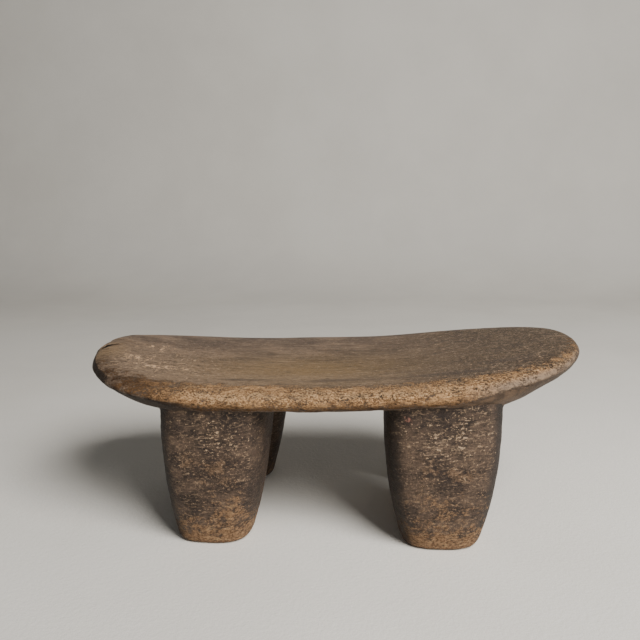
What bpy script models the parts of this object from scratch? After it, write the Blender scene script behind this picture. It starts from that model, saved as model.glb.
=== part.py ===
"""A low four-legged carved wooden headrest stool.

The real object is carved from one block of hardwood. Here the block is divided where the carver
would mark it out: a dished, upswept seat slab and four stout tapering legs.
Metres, +Z up. The origin is on the floor under the middle of the seat, +X runs along the seat
towards its higher end, and -Y is the front.
"""

import math

import bmesh
import bpy
from mathutils import Matrix, Vector

# Seat, seen from above: a rounded oblong whose four corners were each cut by eye. Its two tips lie on
# one line, and it bows further out in front of that line than behind it.
SEAT_LENGTH = 0.560
FRONT_BOW, BACK_BOW = 0.1510, 0.1330
FRONT_SIDE_POWER, BACK_SIDE_POWER = 2.03, 2.3  # 2 is an ellipse; larger is fuller
CORNER_POWER = {"front_left": 4.6, "front_right": 3.9, "back_left": 3.7, "back_right": 4.0}
TIP_Y = (FRONT_BOW - BACK_BOW) / 2

# Seat, seen from the side: a saddle that is lowest left of the middle and lifts towards both ends.
RIM_HEIGHT = 0.1800  # top of the rim at the saddle's lowest place
SADDLE_X = -0.076
LEFT_LIFT, LEFT_LIFT_POWER = 0.0211, 2.4
RIGHT_LIFT, RIGHT_LIFT_POWER = 0.0326, 2.2
DISH_DEPTH = 0.0045  # how far the sitting surface is hollowed below its rim
RIM_ROUNDING = 0.0118  # from the top of the rim down to its widest line
LEFT_TIP_ROUNDING = 0.0150  # the same at the left tip, which is blunter
# How sharply the top surface turns over the rim: the front is worn to a broad curve
TIP_CREST_POWER, FRONT_CREST_POWER, BACK_CREST_POWER = 32, 9, 20

# Underside, as a depth below the widest line: thicker over the legs, thinner at the ends.
MIDDLE_DEPTH = 0.0200
LEFT_END_DEPTH, RIGHT_END_DEPTH = 0.0118, 0.0212
LEFT_LEG_SWELL, RIGHT_LEG_SWELL = 0.0075, 0.0145
SWELL_AT, SWELL_SPREAD = 0.58, 0.20  # shares of the half length
BELLY_FULLNESS = 3.0  # how full the underside stays towards the rim

# Legs: rounded-square posts that swell towards the top.
LEG_HEIGHT = 0.156  # where a leg would reach its full width
LEG_BLANK_TOP = 0.167  # the uncut leg ends inside the slab
LEG_TOP_DEPTH, FOOT_DEPTH = 0.104, 0.071
TOP_SQUARENESS, FOOT_SQUARENESS = 3.6, 2.7
FOOT_ROUNDING = 0.006
SEAM = 0.0004  # gap kept between a leg and the slab
LEGS = {
    "front_left_leg": {"top": (-0.1189, -0.0790), "foot": (-0.1265, -0.0770),
                       "top_width": 0.116, "foot_width": 0.079, "taper": 2.1, "turn": -2.5},
    "front_right_leg": {"top": (0.1208, -0.0790), "foot": (0.1210, -0.0770),
                        "top_width": 0.122, "foot_width": 0.081, "taper": 2.5, "turn": 0.5},
    "back_left_leg": {"top": (-0.1183, 0.0790), "foot": (-0.1265, 0.0910),
                      "top_width": 0.115, "foot_width": 0.078, "taper": 2.1, "turn": 2.0},
    "back_right_leg": {"top": (0.1212, 0.0790), "foot": (0.1225, 0.0910),
                       "top_width": 0.118, "foot_width": 0.080, "taper": 2.3, "turn": -1.5},
}

# Mesh resolution
SEAT_SEGMENTS, SEAT_RINGS = 72, 26
LEG_SEGMENTS, LEG_RINGS = 40, 12
FOOT_RING_CROWDING = 1.7  # above 1 puts more of a leg's rings near the foot
SMOOTH_ANGLE = math.radians(40)


def clear_scene():
    for old in list(bpy.data.objects):
        bpy.data.objects.remove(old)


def new_collection(name):
    collection = bpy.data.collections.new(name)
    bpy.context.scene.collection.children.link(collection)
    return collection


def wood(name, colour, roughness):
    material = bpy.data.materials.new(name)
    material.use_nodes = True
    shader = material.node_tree.nodes["Principled BSDF"]
    shader.inputs["Base Color"].default_value = (*colour, 1.0)
    shader.inputs["Roughness"].default_value = roughness
    shader.inputs["Metallic"].default_value = 0.0
    material.diffuse_color = (*colour, 1.0)
    return material


def signed_power(value, power):
    return math.copysign(abs(value) ** power, value)


def bow_and_powers(cosine, sine):
    """How far the seat reaches from the line of its tips in this quarter, and the powers that shape it."""
    side = "front" if sine < 0 else "back"
    end = "left" if cosine < 0 else "right"
    bow = FRONT_BOW if sine < 0 else BACK_BOW
    side_power = FRONT_SIDE_POWER if sine < 0 else BACK_SIDE_POWER
    return bow, side_power, CORNER_POWER[f"{side}_{end}"]


def rim_top(x):
    """Height of the top of the rim at this distance along the seat."""
    half = SEAT_LENGTH / 2
    if x < SADDLE_X:
        return RIM_HEIGHT + LEFT_LIFT * ((SADDLE_X - x) / (half + SADDLE_X)) ** LEFT_LIFT_POWER
    return RIM_HEIGHT + RIGHT_LIFT * ((x - SADDLE_X) / (half - SADDLE_X)) ** RIGHT_LIFT_POWER


def rim_rounding(x):
    """Depth of the rim's rounding above its widest line at this distance along the seat."""
    share = max(-x, 0.0) / (SEAT_LENGTH / 2)
    return RIM_ROUNDING + (LEFT_TIP_ROUNDING - RIM_ROUNDING) * share ** 2


def slab_depth(x):
    """How far the middle of the underside lies below the widest line at this distance along the seat."""
    share = abs(x) / (SEAT_LENGTH / 2)
    end_depth, swell = (LEFT_END_DEPTH, LEFT_LEG_SWELL) if x < 0 else (RIGHT_END_DEPTH, RIGHT_LEG_SWELL)
    over_legs = math.exp(-(((share - SWELL_AT) / SWELL_SPREAD) ** 2))
    return MIDDLE_DEPTH + (end_depth - MIDDLE_DEPTH) * share ** 2 + swell * over_legs


def seat_point(direction):
    """Where a point of a unit sphere lands on the slab: its equator becomes the seat's widest line."""
    spread = min(math.hypot(direction.x, direction.y), 1.0)
    angle = math.atan2(direction.y, direction.x)
    cosine, sine = math.cos(angle), math.sin(angle)
    bow, side_power, corner_power = bow_and_powers(cosine, sine)
    x = SEAT_LENGTH / 2 * signed_power(cosine, 2 / corner_power) * spread
    y = bow * signed_power(sine, 2 / side_power) * spread
    widest_line = rim_top(x) - rim_rounding(x)
    if direction.z > 0:
        side_crest = FRONT_CREST_POWER if sine < 0 else BACK_CREST_POWER
        crest_power = TIP_CREST_POWER + (side_crest - TIP_CREST_POWER) * sine ** 2
        crest = rim_rounding(x) * math.sqrt(1 - spread ** crest_power)
        return Vector((x, y + TIP_Y, widest_line + crest - DISH_DEPTH * (1 - spread ** 2) ** 2))
    # 1 on the widest line and less inside it, like a level line of the outline's own curve
    level = cosine ** 2 * spread ** corner_power + sine ** 2 * spread ** side_power
    drop = slab_depth(x) * math.sqrt(max(0.0, 1 - level ** BELLY_FULLNESS))
    return Vector((x, y + TIP_Y, widest_line - drop))


def seat_mesh():
    """A UV sphere with every point moved onto the slab."""
    shape = bmesh.new()
    bmesh.ops.create_uvsphere(shape, u_segments=SEAT_SEGMENTS, v_segments=SEAT_RINGS, radius=1.0)
    for vert in shape.verts:
        vert.co = seat_point(vert.co)
    bmesh.ops.triangulate(shape, faces=shape.faces)  # so the slab and its cutter have the same facets
    bmesh.ops.recalc_face_normals(shape, faces=shape.faces)
    mesh = bpy.data.meshes.new("seat")
    shape.to_mesh(mesh)
    shape.free()
    return mesh


def blend(start, end, share):
    return start + (end - start) * share


def leg_point(leg, direction, share_up):
    """Where a point of a unit cylinder lands on a leg; share_up runs from the foot to the blank's top."""
    height = LEG_BLANK_TOP * share_up ** FOOT_RING_CROWDING
    up = min(height / LEG_HEIGHT, 1.0)
    swell = 1 - (1 - up) ** leg["taper"]
    inset = 0.0
    if height < FOOT_ROUNDING:
        inset = FOOT_ROUNDING * (1 - math.sqrt(1 - (1 - height / FOOT_ROUNDING) ** 2))
    half_width = blend(leg["foot_width"], leg["top_width"], swell) / 2 - inset
    half_depth = blend(FOOT_DEPTH, LEG_TOP_DEPTH, swell) / 2 - inset
    corner = 2 / blend(FOOT_SQUARENESS, TOP_SQUARENESS, swell)
    section = Vector((
        half_width * signed_power(direction.x, corner),
        half_depth * signed_power(direction.y, corner),
        height,
    ))
    foot, top = Vector(leg["foot"]), Vector(leg["top"])
    centre = blend(foot, top, up).to_3d()
    return Matrix.Rotation(math.radians(leg["turn"]), 3, "Z") @ section + centre


def leg_mesh(name, leg):
    """A cylinder cut into rings, with every point moved onto the leg. Its middle is over the foot's."""
    shape = bmesh.new()
    bmesh.ops.create_cone(
        shape, cap_ends=True, segments=LEG_SEGMENTS, radius1=1.0, radius2=1.0, depth=1.0
    )
    uprights = [edge for edge in shape.edges if abs(edge.verts[0].co.z - edge.verts[1].co.z) > 0.5]
    bmesh.ops.subdivide_edges(shape, edges=uprights, cuts=LEG_RINGS, use_grid_fill=True)
    foot = Vector((*leg["foot"], 0.0))
    for vert in shape.verts:
        vert.co = leg_point(leg, vert.co, vert.co.z + 0.5) - foot
    bmesh.ops.recalc_face_normals(shape, faces=shape.faces)
    mesh = bpy.data.meshes.new(name)
    shape.to_mesh(mesh)
    shape.free()
    return mesh


def add_object(name, mesh, collection, parent, material=None, location=(0, 0, 0)):
    mesh.shade_smooth()
    mesh.set_sharp_from_angle(angle=SMOOTH_ANGLE)
    obj = bpy.data.objects.new(name, mesh)
    obj.location = location
    obj.parent = parent
    if material:
        mesh.materials.append(material)
    collection.objects.link(obj)
    return obj


def add_cutter(mesh, collection, parent):
    """The slab lowered by the seam: it shapes the top of every leg."""
    cutter = add_object("slab_cutter", mesh, collection, parent, location=(0, 0, -SEAM))
    cutter.hide_render = True
    cutter.display_type = "WIRE"
    return cutter


def trim_to_slab(leg_object, cutter):
    trim = leg_object.modifiers.new("trim_to_slab", "BOOLEAN")
    trim.operation = "DIFFERENCE"
    trim.solver = "EXACT"
    trim.object = cutter


def main():
    clear_scene()
    parts = new_collection("carved_headrest")
    cutters = new_collection("cutters")
    block = bpy.data.objects.new("carved_block", None)
    parts.objects.link(block)

    worn_wood = wood("worn_seat_wood", (0.206, 0.143, 0.090), 0.62)
    dark_wood = wood("dark_leg_wood", (0.112, 0.078, 0.054), 0.70)
    add_object("seat_slab", seat_mesh(), parts, block, worn_wood)
    cutter = add_cutter(seat_mesh(), cutters, block)
    for name, leg in LEGS.items():
        made = add_object(
            name, leg_mesh(name, leg), parts, block, dark_wood, location=(*leg["foot"], 0.0)
        )
        trim_to_slab(made, cutter)


main()
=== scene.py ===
"""Looks for a low carved wooden headrest stool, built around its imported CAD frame.

Each CAD solid, the seat slab and the four legs, is replaced by a dense hand-carved surface of the same
shape. The meshes hold the hand-cut unevenness, the gouge marks under the slab, and the chip and the
lifted edge at the left end. Grain, pits, fine cracks and patina are procedural, most of them placed by
masks on the points. Metres, +Z up, -Y is the front.
"""

import math
from itertools import product

import bmesh
import bpy
import numpy as np
from mathutils import Matrix, Vector


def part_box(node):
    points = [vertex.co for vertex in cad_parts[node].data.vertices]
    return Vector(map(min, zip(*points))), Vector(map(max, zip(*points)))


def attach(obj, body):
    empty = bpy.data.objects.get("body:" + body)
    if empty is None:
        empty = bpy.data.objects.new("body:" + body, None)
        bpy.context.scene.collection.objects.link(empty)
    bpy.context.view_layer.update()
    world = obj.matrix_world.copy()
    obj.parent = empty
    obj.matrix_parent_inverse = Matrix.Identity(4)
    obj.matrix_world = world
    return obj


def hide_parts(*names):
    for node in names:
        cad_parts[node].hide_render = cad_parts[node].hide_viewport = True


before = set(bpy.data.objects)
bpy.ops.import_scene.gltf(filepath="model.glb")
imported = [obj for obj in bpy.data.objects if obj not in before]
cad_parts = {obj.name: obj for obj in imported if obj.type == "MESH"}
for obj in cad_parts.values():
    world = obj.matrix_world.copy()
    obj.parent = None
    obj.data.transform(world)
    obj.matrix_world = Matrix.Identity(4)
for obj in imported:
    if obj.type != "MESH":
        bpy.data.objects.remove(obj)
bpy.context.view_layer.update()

# The seat's shape, as in the CAD
SEAT_LOW, SEAT_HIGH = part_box("seat_slab")
HALF_LENGTH = (SEAT_HIGH[0] - SEAT_LOW[0]) / 2
FRONT_BOW, BACK_BOW = 0.1510, 0.1330
TIP_Y = SEAT_LOW[1] + FRONT_BOW
FRONT_SIDE_POWER, BACK_SIDE_POWER = 2.03, 2.3
FRONT_CORNERS, BACK_CORNERS = (4.6, 3.9), (3.7, 4.0)  # left, right
RIM_HEIGHT, SADDLE_X = 0.1800, -0.076
LEFT_LIFT, RIGHT_LIFT = (0.0211, 2.4), (0.0326, 2.2)  # height, power
DISH_DEPTH, RIM_ROUNDING, LEFT_TIP_ROUNDING = 0.0045, 0.0118, 0.0150
TIP_CREST, FRONT_CREST, BACK_CREST = 32, 9, 20  # powers: the front rim is worn to a broad curve
MIDDLE_DEPTH = 0.0200
LEFT_DEPTH, RIGHT_DEPTH = (0.0118, 0.0075), (0.0212, 0.0145)  # at the end, swell over the legs
SWELL_AT, SWELL_SPREAD = 0.58, 0.20  # shares of the half length
BELLY_FULLNESS = 3.0
LEAST_SLOPE = 4.0  # of the outline's level, per metre: keeps the distance to the rim finite

# The legs' shape, as in the CAD
LEG_HEIGHT, BLANK_TOP = 0.156, 0.167
LEG_TOP_DEPTH, FOOT_DEPTH = 0.104, 0.071
TOP_SQUARENESS, FOOT_SQUARENESS = 3.6, 2.7
FOOT_ROUNDING = 0.006
LEGS = {
    "front_left_leg": {"top": (-0.1189, -0.0790), "foot": (-0.1265, -0.0770),
                       "top_width": 0.116, "foot_width": 0.079, "taper": 2.1, "turn": -2.5},
    "front_right_leg": {"top": (0.1208, -0.0790), "foot": (0.1210, -0.0770),
                        "top_width": 0.122, "foot_width": 0.081, "taper": 2.5, "turn": 0.5},
    "back_left_leg": {"top": (-0.1183, 0.0790), "foot": (-0.1265, 0.0910),
                      "top_width": 0.115, "foot_width": 0.078, "taper": 2.1, "turn": 2.0},
    "back_right_leg": {"top": (0.1212, 0.0790), "foot": (0.1225, 0.0910),
                       "top_width": 0.118, "foot_width": 0.080, "taper": 2.3, "turn": -1.5},
}
JUNCTION_FILLET = 0.0012  # radius left by the adze where a leg runs into the slab

MM = 0.001
ANYWHERE = 1  # metres: a patch's radius along an axis that doesn't limit it
LATTICE, LATTICE_SHIFT = 32, 7.3  # cells of random values along each axis, and where they start


# ---------------------------------------------------------------- numbers over many points

def ease(value, low, high):
    """0 below low, 1 above high, and a smooth step between."""
    share = np.clip((value - low) / (high - low), 0, 1)
    return share * share * (3 - 2 * share)


def noise(points, size, seed, stretch=(1, 1, 1)):
    """Smooth noise from -1 to 1, with features about this size, drawn out along the axes by stretch."""
    lattice = np.random.default_rng(seed).uniform(-1, 1, (LATTICE, LATTICE, LATTICE))
    place = points / (size * np.asarray(stretch, float)) + LATTICE_SHIFT
    cell = np.floor(place).astype(int)
    near = ease(place - cell, 0, 1)
    total = np.zeros(len(points))
    for corner in product((0, 1), repeat=3):
        weight = np.prod(np.where(corner, near, 1 - near), axis=1)
        index = (cell + corner) % LATTICE
        total += weight * lattice[index[:, 0], index[:, 1], index[:, 2]]
    return total


def rough_noise(points, size, seed, octaves=3, stretch=(1, 1, 1)):
    """Noise with finer and finer detail added to it."""
    total = sum(noise(points, size / 2 ** i, seed + i, stretch) / 2 ** i for i in range(octaves))
    return total / (2 - 0.5 ** (octaves - 1))


def scoops(points, centres, radii, depth):
    """Depth of shallow overlapping gouge cuts: each is a bowl around its centre."""
    cut = np.zeros(len(points))
    for centre, radius in zip(centres, radii):
        share = ((points - centre) ** 2 / np.asarray(radius) ** 2).sum(axis=1)
        cut = np.maximum(cut, 1 - share)
    return depth * cut


def spot(points, centre, radii):
    """1 at the centre of a soft patch, fading over these radii along X, Y and Z."""
    return np.exp(-(((points - centre) / radii) ** 2).sum(axis=1))


def soft_patches(points, patches):
    """The sum of soft patches, each given as (strength, centre, radii)."""
    return sum(strength * spot(points, centre, radii) for strength, centre, radii in patches)


# ---------------------------------------------------------------- the slab's surface

def seat_shape(x, y):
    """(level, distance in from the rim, height of the widest line, depth below it) at each x, y."""
    share = np.clip(np.abs(x) / HALF_LENGTH, 0, 1)
    front = y < TIP_Y
    across = np.abs(y - TIP_Y) / np.where(front, FRONT_BOW, BACK_BOW)
    side_power = np.where(front, FRONT_SIDE_POWER, BACK_SIDE_POWER)
    left = x < 0
    corner_power = np.where(
        front,
        np.where(left, *FRONT_CORNERS),
        np.where(left, *BACK_CORNERS),
    )
    level = share ** corner_power + across ** side_power
    slope = np.hypot(
        corner_power * share ** (corner_power - 1) / HALF_LENGTH,
        side_power * across ** (side_power - 1) / np.where(front, FRONT_BOW, BACK_BOW),
    )
    inward = (1 - level) / np.maximum(slope, LEAST_SLOPE)
    to_left = np.clip((SADDLE_X - x) / (HALF_LENGTH + SADDLE_X), 0, None)
    to_right = np.clip((x - SADDLE_X) / (HALF_LENGTH - SADDLE_X), 0, None)
    rise = LEFT_LIFT[0] * to_left ** LEFT_LIFT[1] + RIGHT_LIFT[0] * to_right ** RIGHT_LIFT[1]
    end_depth = np.where(left, LEFT_DEPTH[0], RIGHT_DEPTH[0])
    swell = np.where(left, LEFT_DEPTH[1], RIGHT_DEPTH[1])
    depth = MIDDLE_DEPTH + (end_depth - MIDDLE_DEPTH) * share ** 2
    depth = depth + swell * np.exp(-(((share - SWELL_AT) / SWELL_SPREAD) ** 2))
    return level, inward, RIM_HEIGHT + rise - rim_rounding(x), depth


def rim_rounding(x):
    """Depth of the rim's rounding above its widest line, which grows towards the left tip."""
    return RIM_ROUNDING + (LEFT_TIP_ROUNDING - RIM_ROUNDING) * np.clip(-x / HALF_LENGTH, 0, 1) ** 2


def underside(x, y):
    """Height of the slab's underside, or of its widest line outside the rim."""
    level, _, widest, depth = seat_shape(x, y)
    return widest - depth * np.sqrt(np.clip(1 - level ** BELLY_FULLNESS, 0, 1))


def outline_reach(angle):
    """How far the outline lies from the middle in this direction, in half lengths and bows."""
    cosine, sine = np.cos(angle), np.sin(angle)
    beyond_corners, halvings = 1.6, 30
    low, high = np.zeros_like(angle), np.full_like(angle, beyond_corners)
    for _ in range(halvings):
        middle = (low + high) / 2
        bow = np.where(sine < 0, FRONT_BOW, BACK_BOW)
        x, y = HALF_LENGTH * cosine * middle, TIP_Y + bow * sine * middle
        # seat_shape clips the share of the half length at 1, so a point past a tip is tested here
        outside = (seat_shape(x, y)[0] > 1) | (np.abs(cosine) * middle > 1)
        low, high = np.where(outside, low, middle), np.where(outside, middle, high)
    return low


def seat_surface(direction):
    """Where each point of a unit sphere lands on the slab: its equator becomes the widest line."""
    spread = np.clip(np.hypot(direction[:, 0], direction[:, 1]), 0, 1)
    angle = np.arctan2(direction[:, 1], direction[:, 0])
    front = np.sin(angle) < 0
    reach = outline_reach(angle)
    x = HALF_LENGTH * reach * spread * np.cos(angle)
    y = TIP_Y + np.where(front, FRONT_BOW, BACK_BOW) * reach * spread * np.sin(angle)
    widest = seat_shape(x, y)[2]
    # 0 at the tips and 1 at the middle of the front and the back
    beside = (reach * np.abs(np.sin(angle))) ** np.where(front, FRONT_SIDE_POWER, BACK_SIDE_POWER)
    crest_power = TIP_CREST + (np.where(front, FRONT_CREST, BACK_CREST) - TIP_CREST) * beside
    crest = rim_rounding(x) * np.sqrt(1 - spread ** crest_power)
    top = widest + crest - DISH_DEPTH * (1 - spread ** 2) ** 2
    z = np.where(direction[:, 2] > 0, top, underside(x, y))
    return np.stack([x, y, z], axis=1)


def leg_surface(leg, direction, height):
    """Where each point of a unit circle lands on a leg at this height."""
    up = np.clip(height / LEG_HEIGHT, 0, 1)
    swell = 1 - (1 - up) ** leg["taper"]
    near_floor = np.clip(1 - height / FOOT_ROUNDING, 0, 1)
    inset = FOOT_ROUNDING * (1 - np.sqrt(1 - near_floor ** 2))
    half_width = (leg["foot_width"] + (leg["top_width"] - leg["foot_width"]) * swell) / 2 - inset
    half_depth = (FOOT_DEPTH + (LEG_TOP_DEPTH - FOOT_DEPTH) * swell) / 2 - inset
    power = FOOT_SQUARENESS + (TOP_SQUARENESS - FOOT_SQUARENESS) * swell
    angle = np.arctan2(direction[:, 1], direction[:, 0])
    spread = np.hypot(direction[:, 0], direction[:, 1])
    cosine, sine = np.cos(angle), np.sin(angle)
    reach = spread / (np.abs(cosine) ** power + np.abs(sine) ** power) ** (1 / power)
    x, y = half_width * reach * cosine, half_depth * reach * sine
    turn = math.radians(leg["turn"])
    foot, top = np.asarray(leg["foot"]), np.asarray(leg["top"])
    centre = foot + (top - foot) * up[:, None]
    return np.stack([
        x * math.cos(turn) - y * math.sin(turn) + centre[:, 0],
        x * math.sin(turn) + y * math.cos(turn) + centre[:, 1],
        height,
    ], axis=1)


# ---------------------------------------------------------------- meshes

def box_grid(name, across, deep, high):
    """A cube from -1 to 1 cut into a grid, with this many squares along X, Y and Z."""
    shape = bmesh.new()
    bmesh.ops.create_cube(shape, size=2)
    nearly_whole_side = 1.9
    for axis, count in enumerate((across, deep, high)):
        along = [
            edge for edge in shape.edges
            if abs(edge.verts[0].co[axis] - edge.verts[1].co[axis]) > nearly_whole_side
        ]
        bmesh.ops.subdivide_edges(shape, edges=along, cuts=count - 1, use_grid_fill=True)
    mesh = bpy.data.meshes.new(name)
    shape.to_mesh(mesh)
    shape.free()
    return mesh


def read_points(mesh, kind="co"):
    values = np.empty(len(mesh.vertices) * 3, np.float32)
    mesh.vertices.foreach_get(kind, values)
    return values.reshape(-1, 3).astype(float)


def write_points(mesh, points):
    mesh.vertices.foreach_set("co", points.astype(np.float32).ravel())
    mesh.update()


def push_out(mesh, offsets):
    """Moves each point along its normal."""
    write_points(mesh, read_points(mesh) + read_points(mesh, "normal") * offsets[:, None])


def add_mask(mesh, name, values):
    layer = mesh.attributes.new(name, "FLOAT", "POINT")
    layer.data.foreach_set("value", values.astype(np.float32))


def to_disc(square_x, square_y):
    """A square grid drawn in to a disc, with its edge on the circle."""
    return (square_x * np.sqrt(1 - square_y ** 2 / 2), square_y * np.sqrt(1 - square_x ** 2 / 2))


def add_piece(name, mesh, node, material):
    mesh.shade_smooth()
    mesh.materials.append(material)
    piece = bpy.data.objects.new(name, mesh)
    bpy.context.scene.collection.objects.link(piece)
    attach(piece, "root")
    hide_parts(node)
    return piece


# ---------------------------------------------------------------- materials

def srgb(red, green, blue):
    """A colour given in display values of 0 to 255, as the linear values that a shader takes."""
    return tuple((value / 255) ** 2.2 for value in (red, green, blue)) + (1.0,)


SEEDS_APART = (3.1, 1.7, 2.3)  # features between one seed's part of the noise and the next
DRIFT_SIZE = 0.006  # of the wandering of a crack
MASK_FADE = 0.12  # a mask below this holds back the noises that break up its edge


class Shader:
    """Builds one material. Each method adds a node and gives back its output."""

    def __init__(self, name):
        self.material = bpy.data.materials.new(name)
        self.material.use_nodes = True
        self.tree = self.material.node_tree
        self.surface = self.tree.nodes["Principled BSDF"]
        self.upright = self.tree.nodes.new("ShaderNodeTexCoord").outputs["Object"]
        self.place = self.upright

    def lean(self, degrees):
        """Tips what is drawn next, so that level marks rise this much towards +X."""
        tipped = self.tree.nodes.new("ShaderNodeMapping")
        self.tree.links.new(self.upright, tipped.inputs["Vector"])
        tipped.inputs["Rotation"].default_value[1] = math.radians(degrees)
        self.place = tipped.outputs["Vector"]

    def node(self, kind, **settings):
        made = self.tree.nodes.new(kind)
        for name, value in settings.items():
            setattr(made, name, value)
        return made

    def feed(self, socket, value):
        if isinstance(value, bpy.types.NodeSocket):
            self.tree.links.new(value, socket)
        else:
            socket.default_value = value

    def maths(self, operation, *values):
        made = self.node("ShaderNodeMath", operation=operation)
        for socket, value in zip(made.inputs, values):
            self.feed(socket, value)
        return made.outputs[0]

    def step(self, value, low, high, start=0.0, end=1.0):
        made = self.node("ShaderNodeMapRange", interpolation_type="SMOOTHSTEP")
        for name, given in (("Value", value), ("From Min", low), ("From Max", high),
                            ("To Min", start), ("To Max", end)):
            self.feed(made.inputs[name], given)
        return made.outputs["Result"]

    def mix(self, share, first, second, blend="MIX"):
        made = self.node("ShaderNodeMix", data_type="RGBA", blend_type=blend)
        # By number, because the node's number, vector and colour sockets share their names
        for index, value in ((0, share), (6, first), (7, second)):
            self.feed(made.inputs[index], value)
        return made.outputs[2]

    def mapped(self, size, stretch, seed):
        """Object coordinates counted in features of this size, in metres, stretched along the axes."""
        made = self.node("ShaderNodeMapping")
        self.feed(made.inputs["Vector"], self.place)
        made.inputs["Scale"].default_value = [1 / (size * factor) for factor in stretch]
        made.inputs["Location"].default_value = [seed * apart for apart in SEEDS_APART]
        return made.outputs["Vector"]

    def noise(self, size, seed, stretch=(1, 1, 1), detail=4, rough=0.6, warp=0.0):
        made = self.node("ShaderNodeTexNoise")
        self.feed(made.inputs["Vector"], self.mapped(size, stretch, seed))
        made.inputs["Scale"].default_value = 1.0
        made.inputs["Detail"].default_value = detail
        made.inputs["Roughness"].default_value = rough
        made.inputs["Distortion"].default_value = warp
        return made.outputs["Fac"]

    def stroke(self, start, end, width, wander=0.0012, seed=50):
        """1 along a fine crack or scratch between two points, which wanders as the grain does."""
        drift = self.node("ShaderNodeTexNoise")
        self.feed(drift.inputs["Vector"], self.mapped(DRIFT_SIZE, (1, 1, 1), seed))
        drift.inputs["Scale"].default_value = 1.0
        place = self.vector("SUBTRACT", drift.outputs["Color"], (0.5, 0.5, 0.5))
        place = self.vector("MULTIPLY", place, (wander * 2, wander * 2, wander * 2))
        place = self.vector("SUBTRACT", self.vector("ADD", self.place, place), start)
        along = Vector(end) - Vector(start)
        share = self.vector("DOT_PRODUCT", place, along / along.length_squared)
        share = self.maths("MINIMUM", self.maths("MAXIMUM", share, 0.0), 1.0)
        away = self.vector("SUBTRACT", place, self.vector("SCALE", tuple(along), scale=share))
        away = self.vector("LENGTH", away)
        taper = self.maths("MULTIPLY", self.maths("SUBTRACT", 1.0, share), width)
        return self.step(self.maths("SUBTRACT", away, taper), width * 0.4, -width * 0.2)

    def vector(self, operation, first, second=None, scale=None):
        made = self.node("ShaderNodeVectorMath", operation=operation)
        self.feed(made.inputs[0], first)
        if second is not None:
            self.feed(made.inputs[1], second)
        if scale is not None:
            self.feed(made.inputs["Scale"], scale)
        return made.outputs["Value" if operation in ("DOT_PRODUCT", "LENGTH") else "Vector"]

    def mask(self, name):
        return self.node("ShaderNodeAttribute", attribute_name=name).outputs["Fac"]

    def ragged(self, name, noises, low, high, most=1.0):
        """A mask whose edge is broken up by each (noise, strength), rising to most from low to high."""
        total = self.mask(name)
        for value, strength in noises:
            swing = self.maths("MULTIPLY", self.maths("SUBTRACT", value, 0.5), strength)
            total = self.maths("ADD", total, swing)
        inside = self.step(self.mask(name), 0.0, MASK_FADE, 0.0, most)
        return self.maths("MULTIPLY", self.step(total, low, high), inside)

    def bump(self, height, distance, below=None):
        made = self.node("ShaderNodeBump")
        made.inputs["Strength"].default_value = 1.0
        made.inputs["Distance"].default_value = distance
        self.feed(made.inputs["Height"], height)
        if below is not None:
            self.feed(made.inputs["Normal"], below)
        return made.outputs["Normal"]

    def finish(self, colour, roughness, normal, specular=0.35):
        self.feed(self.surface.inputs["Base Color"], colour)
        self.feed(self.surface.inputs["Roughness"], roughness)
        self.feed(self.surface.inputs["Normal"], normal)
        self.surface.inputs["Specular IOR Level"].default_value = specular
        return self.material


# Colours of the seat's patina, then of the bare wood at its rim, among them painted shade and a painted
# highlight
PATINA_DARK, PATINA_LIGHT = srgb(90, 75, 64), srgb(128, 107, 89)
POLISHED, SCUFFED, FALLOFF_SHADE = srgb(128, 102, 63), srgb(150, 126, 100), srgb(70, 54, 37)
STREAK_DARK, STREAK_LIGHT = srgb(54, 44, 38), srgb(164, 138, 110)
FINE_DARK, FINE_LIGHT = srgb(50, 41, 35), srgb(172, 147, 120)
MOTTLE, FLECK, PEPPER = srgb(214, 176, 138), srgb(180, 156, 130), srgb(46, 38, 33)
GRAIN_LINE, CRACK_AND_CHIP_SHADE = srgb(56, 45, 40), srgb(26, 19, 14)
BARE_DARK, BARE_LIGHT = srgb(104, 72, 45), srgb(212, 165, 116)
BARE_BROWN, BARE_TAN, CREST_WEAR_AND_HIGHLIGHT = srgb(108, 80, 52), srgb(222, 176, 126), srgb(236, 194, 146)
PIT, PIT_EDGE = srgb(58, 41, 28), srgb(242, 202, 154)
GREY_WEAR, RIM_SHADE = srgb(162, 143, 125), srgb(114, 99, 82)
UNDER_DARK, UNDER_LIGHT, PAINTED_SIDE_SHADE = srgb(64, 50, 38), srgb(104, 83, 64), srgb(44, 34, 26)


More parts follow.
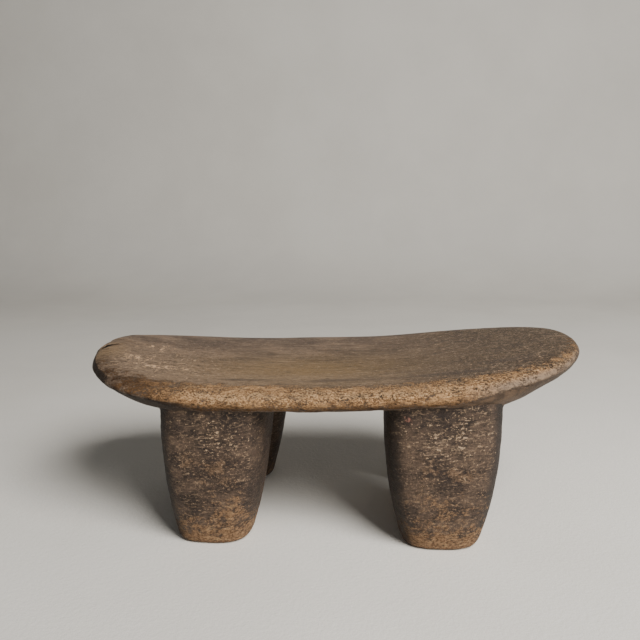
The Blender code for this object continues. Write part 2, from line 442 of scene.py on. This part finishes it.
def seat_wood():
    """Grey-brown patina with lengthwise grain over a rim worn down to lighter, pitted wood, with
    painted shade on the right end, under the rim and in the chip, and a painted highlight along the
    rim's crest.
    """
    shader = Shader("worn_seat_wood")
    streaks = shader.noise(0.0050, 1, (8, 1, 1.5), detail=7, rough=0.78, warp=0.35)
    fine = shader.noise(0.0040, 9, (1.5, 1, 1), detail=6, rough=0.78)
    clouds = shader.noise(0.040, 3, (2.2, 1, 1), detail=6, rough=0.60)
    patches = shader.noise(0.014, 6, (1.8, 1, 1), detail=5, rough=0.62)
    mottle = shader.noise(0.0080, 4, (1.6, 1, 1), detail=6, rough=0.72)
    blots = shader.noise(0.0048, 15, (1.3, 2.6, 1), detail=4, rough=0.70)
    salt = shader.noise(0.0019, 19, (1.5, 1.6, 1), detail=4, rough=0.85)
    grains = shader.noise(0.0016, 8, (1.5, 1, 1), detail=3, rough=0.90)
    pits = shader.noise(0.0042, 7, (1.9, 1, 1), detail=7, rough=0.82, warp=0.3)

    patina = shader.mix(shader.step(clouds, 0.38, 0.62), PATINA_DARK, PATINA_LIGHT)
    patina = shader.mix(shader.mask("polish"), patina, POLISHED)
    patina = shader.mix(shader.mask("scuffed"), patina, SCUFFED)
    # painted shade: the top darkens towards the right end, where the light falls off
    patina = shader.mix(shader.mask("painted_falloff_shade"), patina, FALLOFF_SHADE)
    patina = shader.mix(shader.step(streaks, 0.48, 0.38, 0.0, 0.65), patina, STREAK_DARK)
    patina = shader.mix(shader.step(streaks, 0.54, 0.64, 0.0, 0.50), patina, STREAK_LIGHT)
    patina = shader.mix(shader.step(fine, 0.46, 0.36, 0.0, 0.60), patina, FINE_DARK)
    patina = shader.mix(shader.step(fine, 0.55, 0.65, 0.0, 0.50), patina, FINE_LIGHT)
    mottled = shader.ragged("mottled", ((blots, 4.2), (salt, 3.4)), 0.80, 1.12, 0.92)
    patina = shader.mix(mottled, patina, MOTTLE)
    flecked = shader.ragged("flecked", ((salt, 4.0), (fine, 2.0)), 0.66, 1.12, 0.72)
    patina = shader.mix(flecked, patina, FLECK)
    peppered = shader.ragged("flecked", ((salt, -4.0), (fine, -2.0)), 0.66, 1.12, 0.72)
    patina = shader.mix(peppered, patina, PEPPER)
    dark_grain = shader.ragged("dark_grain", ((streaks, 3.4),), 0.42, 0.72, 0.64)
    patina = shader.mix(dark_grain, patina, GRAIN_LINE)

    bare = shader.mix(shader.step(grains, 0.37, 0.63), BARE_DARK, BARE_LIGHT)
    bare = shader.mix(shader.step(patches, 0.47, 0.62, 0.0, 0.60), bare, BARE_BROWN)
    bare = shader.mix(shader.step(patches, 0.50, 0.36, 0.0, 0.40), bare, BARE_TAN)
    bare = shader.mix(shader.step(pits, 0.47, 0.38, 0.0, 0.85), bare, PIT)
    bare = shader.mix(shader.step(pits, 0.55, 0.63, 0.0, 0.70), bare, PIT_EDGE)
    # the rim's worn crest, made brighter also as a painted highlight along its upper part
    crest = shader.ragged("crest_wear_and_highlight", ((grains, 4.4), (patches, 2.0)), 0.50, 0.95, 0.60)
    bare = shader.mix(crest, bare, CREST_WEAR_AND_HIGHLIGHT)
    bare = shader.mix(shader.mask("grey_wear"), bare, GREY_WEAR)
    # painted shade: the bare rim darkens towards its lower edge and over the left end
    bare = shader.mix(shader.mask("painted_rim_shade"), bare, RIM_SHADE, blend="MULTIPLY")

    worn = shader.ragged("rim_wear", ((mottle, 4.4), (grains, 4.4)), 0.38, 0.78)
    colour = shader.mix(worn, patina, bare)
    belly = shader.mix(shader.step(mottle, 0.40, 0.60), UNDER_DARK, UNDER_LIGHT)
    under = shader.ragged("under", ((grains, 2.4),), 0.35, 0.70, 0.92)
    colour = shader.mix(under, colour, belly)
    # painted shade on the left tip's side and on the rim's lower edge towards both ends
    painted_side_shade = shader.ragged("painted_side_shade", ((mottle, 1.5), (grains, 1.5)), 0.30, 0.80, 0.92)
    colour = shader.mix(painted_side_shade, colour, PAINTED_SIDE_SHADE)
    left_crack = shader.stroke(
        (-0.2708, -0.0120, 0.1955), (-0.2590, 0.0035, 0.1965), 0.0026, wander=0.0008
    )
    right_crack = shader.stroke((0.281, 0.030, 0.196), (0.262, 0.027, 0.2045), 0.0006, seed=51)
    cracks = shader.maths("MAXIMUM", left_crack, right_crack)
    # dark cracks, and painted shade filling the chip's hollow
    colour = shader.mix(shader.maths("MAXIMUM", cracks, shader.mask("chip")), colour, CRACK_AND_CHIP_SHADE)

    grain_bump = shader.bump(streaks, 0.0012)
    fine_bump = shader.bump(fine, 0.0007, grain_bump)
    roughest_where_worn = shader.step(worn, 0.0, 1.0, 0.3, 1.0)
    pitted = shader.maths("MULTIPLY", shader.maths("ADD", grains, pits), roughest_where_worn)
    rough_bump = shader.bump(pitted, 0.0026, fine_bump)
    crack_bump = shader.bump(shader.maths("SUBTRACT", 1.0, cracks), 0.0015, rough_bump)
    roughness = shader.step(worn, 0.0, 1.0, 0.55, 0.84)
    return shader.finish(colour, roughness, crack_bump)


# Colours of the legs' patina, then of the bare wood at their feet, among them painted shade on the
# sides and under the slab
LEG_DARK, LEG_LIGHT, RUST = srgb(58, 47, 41), srgb(95, 78, 65), srgb(136, 107, 80)
CALM_SHADED, SOOT_AND_SLAB_SHADE, SHADE_AWAY_FROM_LIGHT = srgb(56, 47, 41), srgb(36, 29, 25), srgb(28, 20, 12)
SCRATCH_LIGHT, SPECK_LIGHT, SPECK_DARK = srgb(150, 126, 102), srgb(168, 140, 112), srgb(36, 29, 25)
SCORE_LIGHT, SCORE_DARK, CHIPPED = srgb(162, 138, 114), srgb(34, 28, 25), srgb(194, 166, 134)
FOOT_DARK, FOOT_LIGHT = srgb(92, 68, 49), srgb(152, 120, 89)
FOOT_SHADE, FOOT_SCRATCH, KNOT = srgb(84, 62, 45), srgb(196, 162, 120), srgb(158, 108, 92)


def leg_wood():
    """Dark brown patina scratched across by the adze, rusty in patches, worn to brown at the foot, with
    painted shade on the sides and along the top under the slab.
    """
    shader = Shader("dark_leg_wood")
    clouds = shader.noise(0.024, 13, (1.2, 1.2, 1), detail=6, rough=0.60)
    rust = shader.noise(0.016, 16, (1.3, 1.3, 1), detail=6, rough=0.68)
    shader.lean(degrees=7)
    scratches = shader.noise(0.0026, 11, (4.5, 4.5, 1), detail=5, rough=0.74, warp=0.7)
    specks = shader.noise(0.0022, 12, (1.3, 1.3, 1), detail=5, rough=0.78)
    scores = shader.noise(0.0022, 18, (9, 9, 1), detail=4, rough=0.65, warp=0.3)
    flecks = shader.noise(0.0036, 17, (3.0, 3.0, 1), detail=4, rough=0.72)
    mottle = shader.noise(0.0080, 14, (1.5, 1.5, 1), detail=6, rough=0.72)

    dark = shader.mix(shader.step(clouds, 0.38, 0.60), LEG_DARK, LEG_LIGHT)
    rusty = shader.ragged("rust", ((rust, 3.4), (specks, 3.0)), 0.50, 1.05, 0.52)
    dark = shader.mix(rusty, dark, RUST)
    # the side towards +X: fewer marks, and painted shade that darkens it
    dark = shader.mix(shader.mask("calm_shaded_side"), dark, CALM_SHADED)
    # dark soot patches, and painted shade along the top of the leg under the slab
    sooty_and_shaded = shader.ragged("soot_and_slab_shade", ((mottle, 2.6), (specks, 1.6)), 0.30, 0.85, 0.80)
    dark = shader.mix(sooty_and_shaded, dark, SOOT_AND_SLAB_SHADE)
    marked = shader.maths("SUBTRACT", 1.0, shader.mask("calm_shaded_side"))
    pale = shader.maths("MULTIPLY", shader.step(scratches, 0.55, 0.65, 0.0, 0.56), marked)
    dark = shader.mix(pale, dark, SCRATCH_LIGHT)
    black = shader.maths("MULTIPLY", shader.step(scratches, 0.46, 0.38, 0.0, 0.62), marked)
    dark = shader.mix(black, dark, SPECK_DARK)
    pale = shader.maths("MULTIPLY", shader.step(specks, 0.55, 0.64, 0.0, 0.65), marked)
    dark = shader.mix(pale, dark, SPECK_LIGHT)
    dark = shader.mix(shader.step(specks, 0.46, 0.37, 0.0, 0.62), dark, SPECK_DARK)
    scored = shader.ragged("scored", ((scores, 3.2),), 0.85, 1.25, 0.75)
    dark = shader.mix(scored, dark, SCORE_LIGHT)
    gouged = shader.ragged("scored", ((scores, -3.2),), 0.85, 1.25, 0.75)
    dark = shader.mix(gouged, dark, SCORE_DARK)
    chipped = shader.ragged("scratched", ((flecks, 4.5), (specks, 4.5)), 1.10, 1.40, 0.85)
    dark = shader.mix(chipped, dark, CHIPPED)

    bare = shader.mix(shader.step(specks, 0.40, 0.60), FOOT_DARK, FOOT_LIGHT)
    bare = shader.mix(shader.step(mottle, 0.48, 0.36, 0.0, 0.50), bare, FOOT_SHADE)
    bare = shader.mix(shader.step(scratches, 0.53, 0.64, 0.0, 0.50), bare, FOOT_SCRATCH)
    worn = shader.ragged("foot_wear", ((mottle, 3.0), (specks, 1.8)), 0.26, 0.92)
    colour = shader.mix(worn, dark, bare)
    knot = shader.ragged("knot", ((specks, 3.0),), 0.3, 0.8, 0.8)
    colour = shader.mix(knot, colour, KNOT)
    # painted shade on the sides that face -X, away from the key light
    colour = shader.mix(shader.mask("painted_shade_away_from_light"), colour, SHADE_AWAY_FROM_LIGHT)

    scratch_bump = shader.bump(scratches, 0.0014)
    rough_bump = shader.bump(mottle, 0.0022, scratch_bump)
    grit_bump = shader.bump(specks, 0.0010, rough_bump)
    roughness = shader.step(worn, 0.0, 1.0, 0.60, 0.84)
    return shader.finish(colour, roughness, grit_bump)


# ---------------------------------------------------------------- the seat

SEAT_GRID = (220, 120, 58)
SEAT_TOP_SPREAD = 0.93  # how far out the grid's top and bottom faces reach; its sides hold the rim


def seat_directions(mesh):
    """The box grid's points as points of a unit sphere, with the box's sides wrapped round the rim."""
    grid = read_points(mesh)
    disc_x, disc_y = to_disc(np.clip(grid[:, 0], -1, 1), np.clip(grid[:, 1], -1, 1))
    on_face = np.abs(grid[:, 2]) > 1 - 1e-6
    band = math.acos(SEAT_TOP_SPREAD)
    spread = np.where(on_face, SEAT_TOP_SPREAD, np.cos(grid[:, 2] * band))
    flat = np.stack([disc_x * spread, disc_y * spread], axis=1)
    height = np.sqrt(np.clip(1 - (flat ** 2).sum(axis=1), 0, 1)) * np.sign(grid[:, 2])
    return np.column_stack([flat, height])


GOUGES, GOUGE_DEPTH = 420, 0.9 * MM
CHIP_CENTRE, CHIP_RADII, CHIP_DEPTH = (-0.2715, -0.0135, 0.195), (0.0026, 0.0042, 0.020), 3.0 * MM

# Patches on the seat's top, each as (strength, centre, radii)
POLISH_PATCHES = (
    (0.85, (-0.010, -0.045, 0.180), (0.160, 0.075, ANYWHERE)),
    (0.50, (-0.262, -0.030, 0.190), (0.020, 0.035, ANYWHERE)),
)
SCUFF_PATCHES = ((0.50, (-0.010, -0.088, 0.180), (0.150, 0.024, ANYWHERE)),)
MOTTLE_PATCHES = (
    (0.80, (-0.216, 0.019, 0.188), (0.022, 0.016, ANYWHERE)),
    (0.70, (-0.222, -0.036, 0.186), (0.026, 0.012, ANYWHERE)),
    (0.65, (-0.185, -0.062, 0.184), (0.035, 0.014, ANYWHERE)),
    (0.25, (-0.180, -0.050, 0.184), (0.090, 0.060, ANYWHERE)),
    (0.30, (0.190, -0.080, 0.195), (0.080, 0.040, ANYWHERE)),
)
GRAIN_LINE_PATCHES = (
    (0.80, (-0.088, -0.089, 0.180), (0.035, 0.008, ANYWHERE)),
    (0.80, (0.010, -0.093, 0.180), (0.050, 0.009, ANYWHERE)),
    (0.80, (0.130, -0.094, 0.190), (0.060, 0.009, ANYWHERE)),
    (0.70, (0.190, -0.066, 0.190), (0.050, 0.012, ANYWHERE)),
    (0.60, (-0.235, 0.045, 0.190), (0.040, 0.022, ANYWHERE)),
)
FLECK_PATCHES = ((0.25, (-0.200, -0.040, 0.190), (0.080, 0.080, ANYWHERE)),)


def gouge_marks(points):
    """How deep the gouge cuts under the slab go, at each point."""
    rng = np.random.default_rng(5)
    centres = np.column_stack([
        rng.uniform(-HALF_LENGTH, HALF_LENGTH, GOUGES),
        rng.uniform(SEAT_LOW[1], SEAT_HIGH[1], GOUGES),
    ])
    centres = np.column_stack([centres, underside(*centres.T)])
    radii = np.column_stack([
        rng.uniform(0.012, 0.022, GOUGES),
        rng.uniform(0.007, 0.012, GOUGES),
        np.full(GOUGES, 0.012),
    ])
    return scoops(points, centres, radii, GOUGE_DEPTH)


def carve_seat(points, on_top, below, chip):
    """How far the hand-cut surface stands out from the CAD's, at each point."""
    x, y, z = points.T
    side = 1 - np.maximum(on_top, below)
    widest = seat_shape(x, y)[2]
    offsets = 0.8 * MM * rough_noise(points, 0.070, 21, 2)
    offsets += 0.22 * MM * rough_noise(points, 0.0075, 24, 2, (9, 1, 1)) * on_top
    offsets += 0.45 * MM * rough_noise(points, 0.0110, 27, 3) * side
    offsets += 0.30 * MM * rough_noise(points, 0.0065, 31, 2) * side
    offsets -= gouge_marks(points) * below
    # A blunt ridge along the widest line towards the ends
    ridge = np.exp(-(((widest - z) / 0.0024) ** 2)) * ease(np.abs(x), 0.10, 0.19)
    offsets += 0.7 * MM * ridge * side
    # The left end is fuller towards the back, and its edge has lifted past the crack
    short_of_back = ease(0.105 - y, 0, 0.055)
    full_corner = ease(y, 0.017, 0.026) * short_of_back * ease(-x, 0.20, 0.25)
    offsets += 1.0 * MM * full_corner * (1 - below)
    past_crack = y + 0.0115 - 1.3 * (x + 0.270)
    lifted = ease(past_crack, -0.0008, 0.0012) * ease(-x, 0.250, 0.264) * short_of_back
    offsets += 1.1 * MM * lifted * (1 - below)
    return offsets - CHIP_DEPTH * chip


def top_masks(points, on_top):
    """Where the patina of the seat's top changes, and where painted shade darkens its right end."""
    x = points[:, 0]
    return {
        "polish": soft_patches(points, POLISH_PATCHES) * on_top,
        "scuffed": soft_patches(points, SCUFF_PATCHES) * on_top,
        "mottled": soft_patches(points, MOTTLE_PATCHES) * on_top,
        "dark_grain": soft_patches(points, GRAIN_LINE_PATCHES) * on_top,
        # painted shade, darker towards the right end where the light falls off
        "painted_falloff_shade": 0.95 * ease(x, -0.04, 0.22) * on_top,
        "flecked": (0.24 + 0.28 * ease(x, -0.04, 0.22) + soft_patches(points, FLECK_PATCHES)) * on_top,
    }


def rim_masks(points, normal_z):
    """Where the rim is worn to bare wood, where it turns dark below that, and where painted shade and a
    painted highlight fall on it.
    """
    x, y, z = points.T
    _, inward, widest, _ = seat_shape(x, y)
    fall = widest - z
    to_end = ease(np.abs(x), 0.115, 0.195)
    wear_ends_at = 0.0112 - 0.0097 * to_end
    front_width = 0.034 + 0.013 * np.exp(-(((x + 0.085) / 0.055) ** 2))
    front_width -= 0.006 * ease(-x, 0.15, 0.24) + 0.014 * ease(x, 0.14, 0.25)
    band = ease(front_width - inward, 0, 0.024)
    back_band = 0.75 * ease(0.014 - inward, 0, 0.014)
    band = band + (back_band - band) * ease(y - 0.2 * np.clip(x, 0, 1), -0.05, 0.05)
    above = 1 - ease(fall, wear_ends_at - 0.003, wear_ends_at + 0.003)
    left_end = ease(x, -0.272, -0.185)
    right_tip = 1 - 0.75 * ease(x, 0.225, 0.268) * ease(y, -0.085, -0.035)
    # the worn crest, and a painted highlight along the rim's upper part
    crest = np.exp(-(((fall + 0.0055) / 0.0040) ** 2)) * ease(-y, 0.04, 0.09) * ease(x, -0.20, -0.14)
    # painted shade, growing towards the left end and towards the rim's lower edge
    rim_shade_share = 0.85 * ease(-x, 0.115, 0.220) + 0.8 * ease(fall, 0.0025, 0.0105) * (1 - to_end)
    # painted shade: the left tip's side and the rim's lower edge near the ends, turned away from the
    # light
    shaded_tip = ease(-x, 0.205, 0.250) * ease(0.88 - normal_z, 0, 0.20)
    shaded_left = 0.90 * ease(-x, 0.10, 0.17) * ease(fall, -0.0010, 0.0045)
    shaded_right = 0.50 * ease(x, 0.16, 0.21) * ease(fall, 0.0000, 0.0040)
    return {
        "rim_wear": band * above * left_end * right_tip,
        "crest_wear_and_highlight": 0.75 * crest * (1 - 0.4 * ease(x, 0.12, 0.2)),
        "painted_rim_shade": np.clip(rim_shade_share, 0, 0.85),
        "grey_wear": 0.75 * ease(x, 0.12, 0.19) * ease(fall, -0.008, -0.002),
        "under": ease(fall, wear_ends_at - 0.002, wear_ends_at + 0.003),
        "painted_side_shade": np.maximum(np.maximum(shaded_tip, shaded_left), shaded_right),
    }


def make_seat(material):
    mesh = box_grid("seat", *SEAT_GRID)
    write_points(mesh, seat_surface(seat_directions(mesh)))
    points = read_points(mesh)
    normal_z = read_points(mesh, "normal")[:, 2]
    on_top = ease(normal_z, 0.2, 0.8)
    below = ease(-normal_z, 0.3, 0.8)
    chip = spot(points, CHIP_CENTRE, CHIP_RADII)
    push_out(mesh, carve_seat(points, on_top, below, chip))
    add_mask(mesh, "chip", ease(chip, 0.15, 0.6))
    for name, values in (top_masks(points, on_top) | rim_masks(points, normal_z)).items():
        add_mask(mesh, name, values)
    return add_piece("seat", mesh, "seat_slab", material)


# ---------------------------------------------------------------- the legs

LEG_GRID = (44, 44, 100)
FOOT_CROWDING = 1.25  # above 1 puts more of the grid's rows near the foot
FIRST_LEG_SEED, SEEDS_PER_LEG = 100, 20

# Patches on the legs, each as (strength, centre, radii)
FOOT_PATCHES = (
    (0.60, (-0.100, -0.121, 0.046), (0.016, 0.030, 0.020)),
    (0.30, (0.122, -0.121, 0.054), (0.040, 0.030, 0.018)),
)
SCRATCH_PATCHES = (
    (0.40, (-0.106, -0.130, 0.122), (0.022, 0.020, 0.014)),
    (0.40, (0.122, -0.131, 0.128), (0.030, 0.020, 0.018)),
)
SCORE_PATCHES = (
    (0.60, (-0.125, -0.130, 0.124), (0.024, 0.020, 0.012)),
    (0.50, (0.115, -0.130, 0.120), (0.040, 0.020, 0.022)),
)
RUST_BAND = ((0.30, (0, 0, 0.085), (ANYWHERE, ANYWHERE, 0.035)),)
RUST_PATCHES = (
    (0.55, (-0.145, -0.128, 0.096), (0.012, 0.020, 0.010)),
    (0.68, (-0.112, -0.130, 0.094), (0.020, 0.020, 0.011)),
    (0.50, (0.123, -0.131, 0.094), (0.022, 0.020, 0.012)),
)
SOOT_PATCHES = (
    (0.90, (-0.142, -0.122, 0.055), (0.016, 0.020, 0.018)),
    (0.50, (-0.126, -0.130, 0.125), (0.020, 0.020, 0.014)),
    (0.40, (0.105, -0.127, 0.078), (0.022, 0.020, 0.010)),
)
KNOT_PATCHES = ((0.70, (0.0836, -0.128, 0.1495), (0.0042, 0.010, 0.0038)),)


def carve_leg(points, normals, height, seed):
    """How far the hand-cut surface stands out from the CAD's, flaring where it meets the slab."""
    side = ease(1 - np.abs(normals[:, 2]), 0.3, 0.7)
    clear = underside(points[:, 0], points[:, 1]) - points[:, 2]
    into_fillet = np.clip(1 - clear / JUNCTION_FILLET, 0, 1)
    flare = JUNCTION_FILLET * (1 - np.sqrt(1 - into_fillet ** 2)) * side
    offsets = 0.9 * MM * rough_noise(points, 0.050, seed, 2)
    offsets += 0.35 * MM * rough_noise(points, 0.0070, seed + 3, 3, (3, 3, 1))
    offsets += 0.25 * MM * rough_noise(points, 0.0045, seed + 7, 2)
    return offsets * ease(height, 0.0, 0.004) + flare


def leg_masks(leg, points, normals):
    """Where a leg's patina changes, where its foot is worn to bare wood, and where painted shade
    darkens its sides and its top under the slab.
    """
    z = points[:, 2]
    foot_x, foot_y = leg["foot"]
    kicked = 0.3 if foot_y > 0 else 1.0  # the back feet less than the front ones
    worn = 0.85 * ease(0.044 - z, 0.0, 0.040) + 0.15 * ease(0.075 - z, 0, 0.05)
    worn += soft_patches(points, FOOT_PATCHES)
    calm_shade_share = 0.42 if foot_x < 0 else 1.0
    calm_shaded_side = ease(normals[:, 0], 0.35, 0.80)  # the side towards +X has fewer marks, and its colour is darkened there as painted shade
    scratched = 0.40 * ease(z, 0.060, 0.105) + soft_patches(points, SCRATCH_PATCHES)
    scored = 0.25 * ease(z, 0.045, 0.090) + soft_patches(points, SCORE_PATCHES)
    rust = soft_patches(points, RUST_BAND) * (1 - 0.8 * calm_shaded_side) + soft_patches(points, RUST_PATCHES)
    return {
        "foot_wear": worn * kicked,
        "calm_shaded_side": calm_shade_share * calm_shaded_side,
        # painted shade on the sides facing -X, away from the key light
        "painted_shade_away_from_light": 0.80 * ease(-normals[:, 0], 0.25, 0.75),
        "scratched": scratched * (1 - 0.6 * calm_shaded_side),
        "scored": scored * (1 - 0.7 * calm_shaded_side),
        "rust": rust,
        # painted shade along the top of the leg under the slab, and dark soot patches
        "soot_and_slab_shade": 0.60 * ease(z, 0.110, 0.152) + soft_patches(points, SOOT_PATCHES),
        "knot": soft_patches(points, KNOT_PATCHES),
    }


def make_leg(name, leg, seed, material):
    mesh = box_grid(name, *LEG_GRID)
    grid = read_points(mesh)
    disc_x, disc_y = to_disc(np.clip(grid[:, 0], -1, 1), np.clip(grid[:, 1], -1, 1))
    height = BLANK_TOP * ((grid[:, 2] + 1) / 2) ** FOOT_CROWDING
    points = leg_surface(leg, np.column_stack([disc_x, disc_y]), height)
    write_points(mesh, points)
    normals = read_points(mesh, "normal")
    push_out(mesh, carve_leg(points, normals, height, seed))
    points = read_points(mesh)
    points[:, 2] = np.maximum(points[:, 2], 0)  # nothing stands below the floor
    write_points(mesh, points)
    for mask, values in leg_masks(leg, points, normals).items():
        add_mask(mesh, mask, values)
    return add_piece(name.replace("_leg", ""), mesh, name, material)


# ---------------------------------------------------------------- floor, light and camera

FLOOR_COLOUR, FLOOR_CLOUD = srgb(234, 231, 224), srgb(150, 144, 134)
FLOOR_HALF_WIDTH = 3.2
FLOOR_PROFILE = (  # Y and Z, from the floor's front edge to the backdrop's top
    (-2.4, 0.0), (1.7, 0.0), (1.86, 0.02), (2.02, 0.09), (2.13, 0.22), (2.18, 0.40), (2.18, 2.6),
)
CAMERA_PLACE = (0.0457, -0.7683, 0.3646)
CAMERA_YAW, CAMERA_DIP, CAMERA_ROLL = 4.43, 10.11, -0.54  # degrees
LENS_MM, SENSOR_MM = 37.45, 36
LIT_POINT = (0, 0, 0.1)


def pale_floor():
    shader = Shader("pale_floor")
    cloud = shader.noise(0.35, 41, detail=6)
    tone = shader.mix(shader.step(cloud, 0.3, 0.7, 0.0, 0.10), FLOOR_COLOUR, FLOOR_CLOUD)
    fine = shader.noise(0.004, 42, detail=4)
    return shader.finish(tone, 0.85, shader.bump(fine, 0.0006))


def make_stage():
    """A pale floor that curves up into a plain backdrop far behind."""
    shape = bmesh.new()
    edges_x = (-FLOOR_HALF_WIDTH, FLOOR_HALF_WIDTH)
    rows = [[shape.verts.new((x, y, z)) for x in edges_x] for y, z in FLOOR_PROFILE]
    for (left, right), (next_left, next_right) in zip(rows, rows[1:]):
        shape.faces.new((left, right, next_right, next_left))
    mesh = bpy.data.meshes.new("floor")
    shape.to_mesh(mesh)
    shape.free()
    mesh.shade_smooth()
    mesh.materials.append(pale_floor())
    floor = bpy.data.objects.new("floor", mesh)
    bpy.context.scene.collection.objects.link(floor)


def add_light(name, place, size, power, colour):
    """A rectangular lamp that faces the object."""
    lamp = bpy.data.lights.new(name, "AREA")
    lamp.shape = "RECTANGLE"
    lamp.size, lamp.size_y = size
    lamp.energy = power
    lamp.color = colour
    light = bpy.data.objects.new(name, lamp)
    light.location = place
    light.rotation_euler = (Vector(LIT_POINT) - Vector(place)).to_track_quat("-Z", "Y").to_euler()
    bpy.context.scene.collection.objects.link(light)


def make_lights():
    add_light("key", place=(1.25, -1.45, 1.9), size=(1.3, 1.3), power=114, colour=(1.0, 0.97, 0.93))
    add_light("fill", place=(0.2, -2.4, 1.2), size=(2.0, 1.6), power=4, colour=(0.95, 0.97, 1.0))
    world = bpy.data.worlds.new("soft_room")
    world.use_nodes = True
    background = world.node_tree.nodes["Background"]
    background.inputs["Color"].default_value = (0.80, 0.82, 0.86, 1)
    background.inputs["Strength"].default_value = 0.045
    bpy.context.scene.world = world


def make_camera():
    """At the eyes of a crouching person a step away, turned a little to the left."""
    lens = bpy.data.cameras.new("camera")
    lens.lens = LENS_MM
    lens.sensor_width = SENSOR_MM
    camera = bpy.data.objects.new("camera", lens)
    yaw = Matrix.Rotation(math.radians(CAMERA_YAW), 4, "Z")
    tilt = Matrix.Rotation(math.radians(90 - CAMERA_DIP), 4, "X")
    roll = Matrix.Rotation(math.radians(CAMERA_ROLL), 4, "Z")
    camera.matrix_world = Matrix.Translation(CAMERA_PLACE) @ yaw @ tilt @ roll
    bpy.context.scene.collection.objects.link(camera)
    bpy.context.scene.camera = camera


def main():
    make_camera()
    make_lights()
    make_stage()
    make_seat(seat_wood())
    dark_wood = leg_wood()
    for index, (name, leg) in enumerate(LEGS.items()):
        make_leg(name, leg, FIRST_LEG_SEED + SEEDS_PER_LEG * index, dark_wood)


main()
